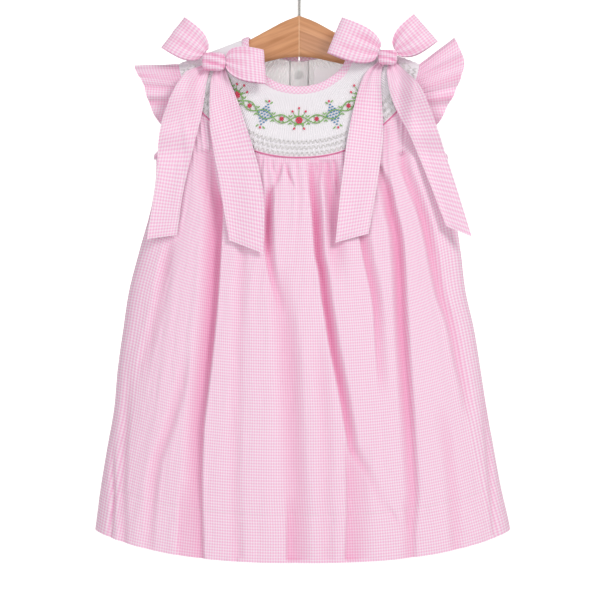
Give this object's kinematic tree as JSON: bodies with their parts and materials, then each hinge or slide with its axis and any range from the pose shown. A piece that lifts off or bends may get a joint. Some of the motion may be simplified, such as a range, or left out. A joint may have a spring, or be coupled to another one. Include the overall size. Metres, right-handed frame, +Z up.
{
  "type": "smocked child's dress on a wooden hanger",
  "caption": "Sleeveless gathered dress with a pleated, smocked bib, flutter sleeves and ribbon bows at the shoulders, hanging on a contoured wooden hanger with a wire hook.",
  "frame": {"origin": "inside top of the hook's wire, where a rail carries it", "axes": "+X to the right of the front view, +Y to the back, +Z up"},
  "size_m": [0.4629, 0.0964, 0.6812],
  "materials": {
    "gingham": "matte cotton gingham",
    "bib_cloth": "matte white cotton",
    "ribbon": "matte cotton gingham",
    "wood": "satin varnish",
    "steel": "polished wire",
    "button": "smooth pearl"
  },
  "bodies": {
    "root": {"hanger_wood": "wood", "hanger_hook": "steel", "yoke_front": "bib_cloth", "yoke_piping": "gingham", "back_left": "bib_cloth", "back_right": "bib_cloth", "back_placket": "bib_cloth", "button_1": "button", "button_2": "button", "button_3": "button", "label": "bib_cloth", "neck_binding": "gingham", "skirt_front": "gingham", "skirt_back": "gingham", "ruffle_left": "gingham", "ruffle_right": "gingham", "arm_binding_left": "gingham", "arm_binding_right": "gingham", "bow_left_knot": "ribbon", "bow_left_loop_left": "ribbon", "bow_left_loop_right": "ribbon", "bow_left_tail_left": "ribbon", "bow_left_tail_right": "ribbon", "bow_right_knot": "ribbon", "bow_right_loop_left": "ribbon", "bow_right_loop_right": "ribbon", "bow_right_tail_left": "ribbon", "bow_right_tail_right": "ribbon"}
  },
  "joints": []
}
